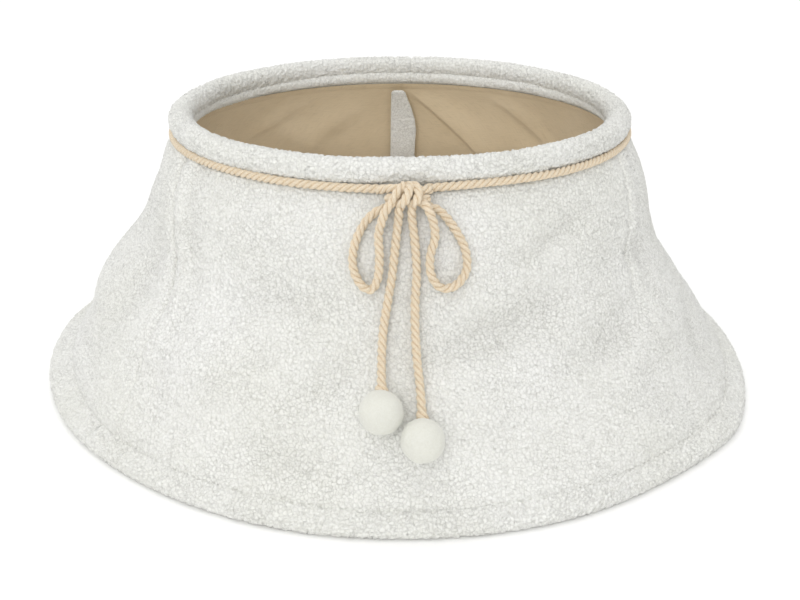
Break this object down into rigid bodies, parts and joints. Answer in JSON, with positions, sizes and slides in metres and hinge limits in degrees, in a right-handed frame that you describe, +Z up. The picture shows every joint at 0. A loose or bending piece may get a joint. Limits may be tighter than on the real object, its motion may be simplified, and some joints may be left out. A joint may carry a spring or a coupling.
{
  "type": "tree skirt",
  "caption": "Round standing tree skirt of white boucle with a rolled rim, cased hem, lapped back opening and a tied cord bow with felt balls.",
  "frame": {"origin": "centre of the circle that the hem covers on the floor", "axes": "+Z up along the tree's trunk, -Y towards the front, where the bow is, +X to the right seen from the front"},
  "size_m": [0.58, 0.58, 0.222],
  "materials": {
    "boucle": "looped pile",
    "interlining": "needled",
    "lining": "plain weave",
    "cord": "twisted cotton",
    "felt": "felted wool",
    "tape": "hook and loop",
    "hoop_plastic": "drawn rod",
    "cap_plastic": "matte"
  },
  "bodies": {
    "front": {"outer_panel_front": "boucle", "interlining_front": "interlining", "lining_front": "lining", "rim_cover_front": "boucle", "rim_facing_front": "boucle", "rim_hoop_front": "hoop_plastic", "hem_casing_front": "boucle", "hem_hoop_front": "hoop_plastic", "neck_cord_front": "cord", "knot": "cord"},
    "left_side": {"outer_panel_left": "boucle", "interlining_left": "interlining", "lining_left": "lining", "rim_cover_left": "boucle", "rim_facing_left": "boucle", "rim_hoop_left": "hoop_plastic", "hem_casing_left": "boucle", "hem_hoop_left": "hoop_plastic", "hoop_caps_left": "cap_plastic", "loop_tape": "tape", "neck_cord_left": "cord"},
    "right_side": {"outer_panel_right": "boucle", "interlining_right": "interlining", "lining_right": "lining", "rim_cover_right": "boucle", "rim_facing_right": "boucle", "rim_hoop_right": "hoop_plastic", "hem_casing_right": "boucle", "hem_hoop_right": "hoop_plastic", "hoop_caps_right": "cap_plastic", "closure_flap": "boucle", "hook_tape": "tape", "neck_cord_right": "cord"},
    "loop_left": {"loop_left": "cord"},
    "loop_right": {"loop_right": "cord"},
    "tail_left": {"tail_left": "cord", "ball_left": "felt"},
    "tail_right": {"tail_right": "cord", "ball_right": "felt"}
  },
  "joints": [
    {"name": "left_open", "type": "hinge", "parent": "front", "child": "left_side", "pos_m": [-0.235, -0.1708, 0], "axis": [0, 0, 1], "range_deg": [0, 15], "stiffness_Nm_per_rad": 0.4},
    {"name": "right_open", "type": "hinge", "parent": "front", "child": "right_side", "pos_m": [0.235, -0.1708, 0], "axis": [0, 0, -1], "range_deg": [0, 15], "stiffness_Nm_per_rad": 0.4},
    {"name": "loop_left_lift", "type": "hinge", "parent": "front", "child": "loop_left", "pos_m": [0.005, -0.1879, 0.199], "axis": [-1, 0, 0], "range_deg": [0, 60]},
    {"name": "loop_right_lift", "type": "hinge", "parent": "front", "child": "loop_right", "pos_m": [0.005, -0.1879, 0.199], "axis": [-1, 0, 0], "range_deg": [0, 60]},
    {"name": "tail_left_lift", "type": "hinge", "parent": "front", "child": "tail_left", "pos_m": [0.005, -0.1879, 0.199], "axis": [-1, 0, 0], "range_deg": [0, 60]},
    {"name": "tail_right_lift", "type": "hinge", "parent": "front", "child": "tail_right", "pos_m": [0.005, -0.1879, 0.199], "axis": [-1, 0, 0], "range_deg": [0, 60]}
  ],
  "couplings": [
    {"joint": "right_open", "follows": "left_open", "ratio": 1}
  ]
}
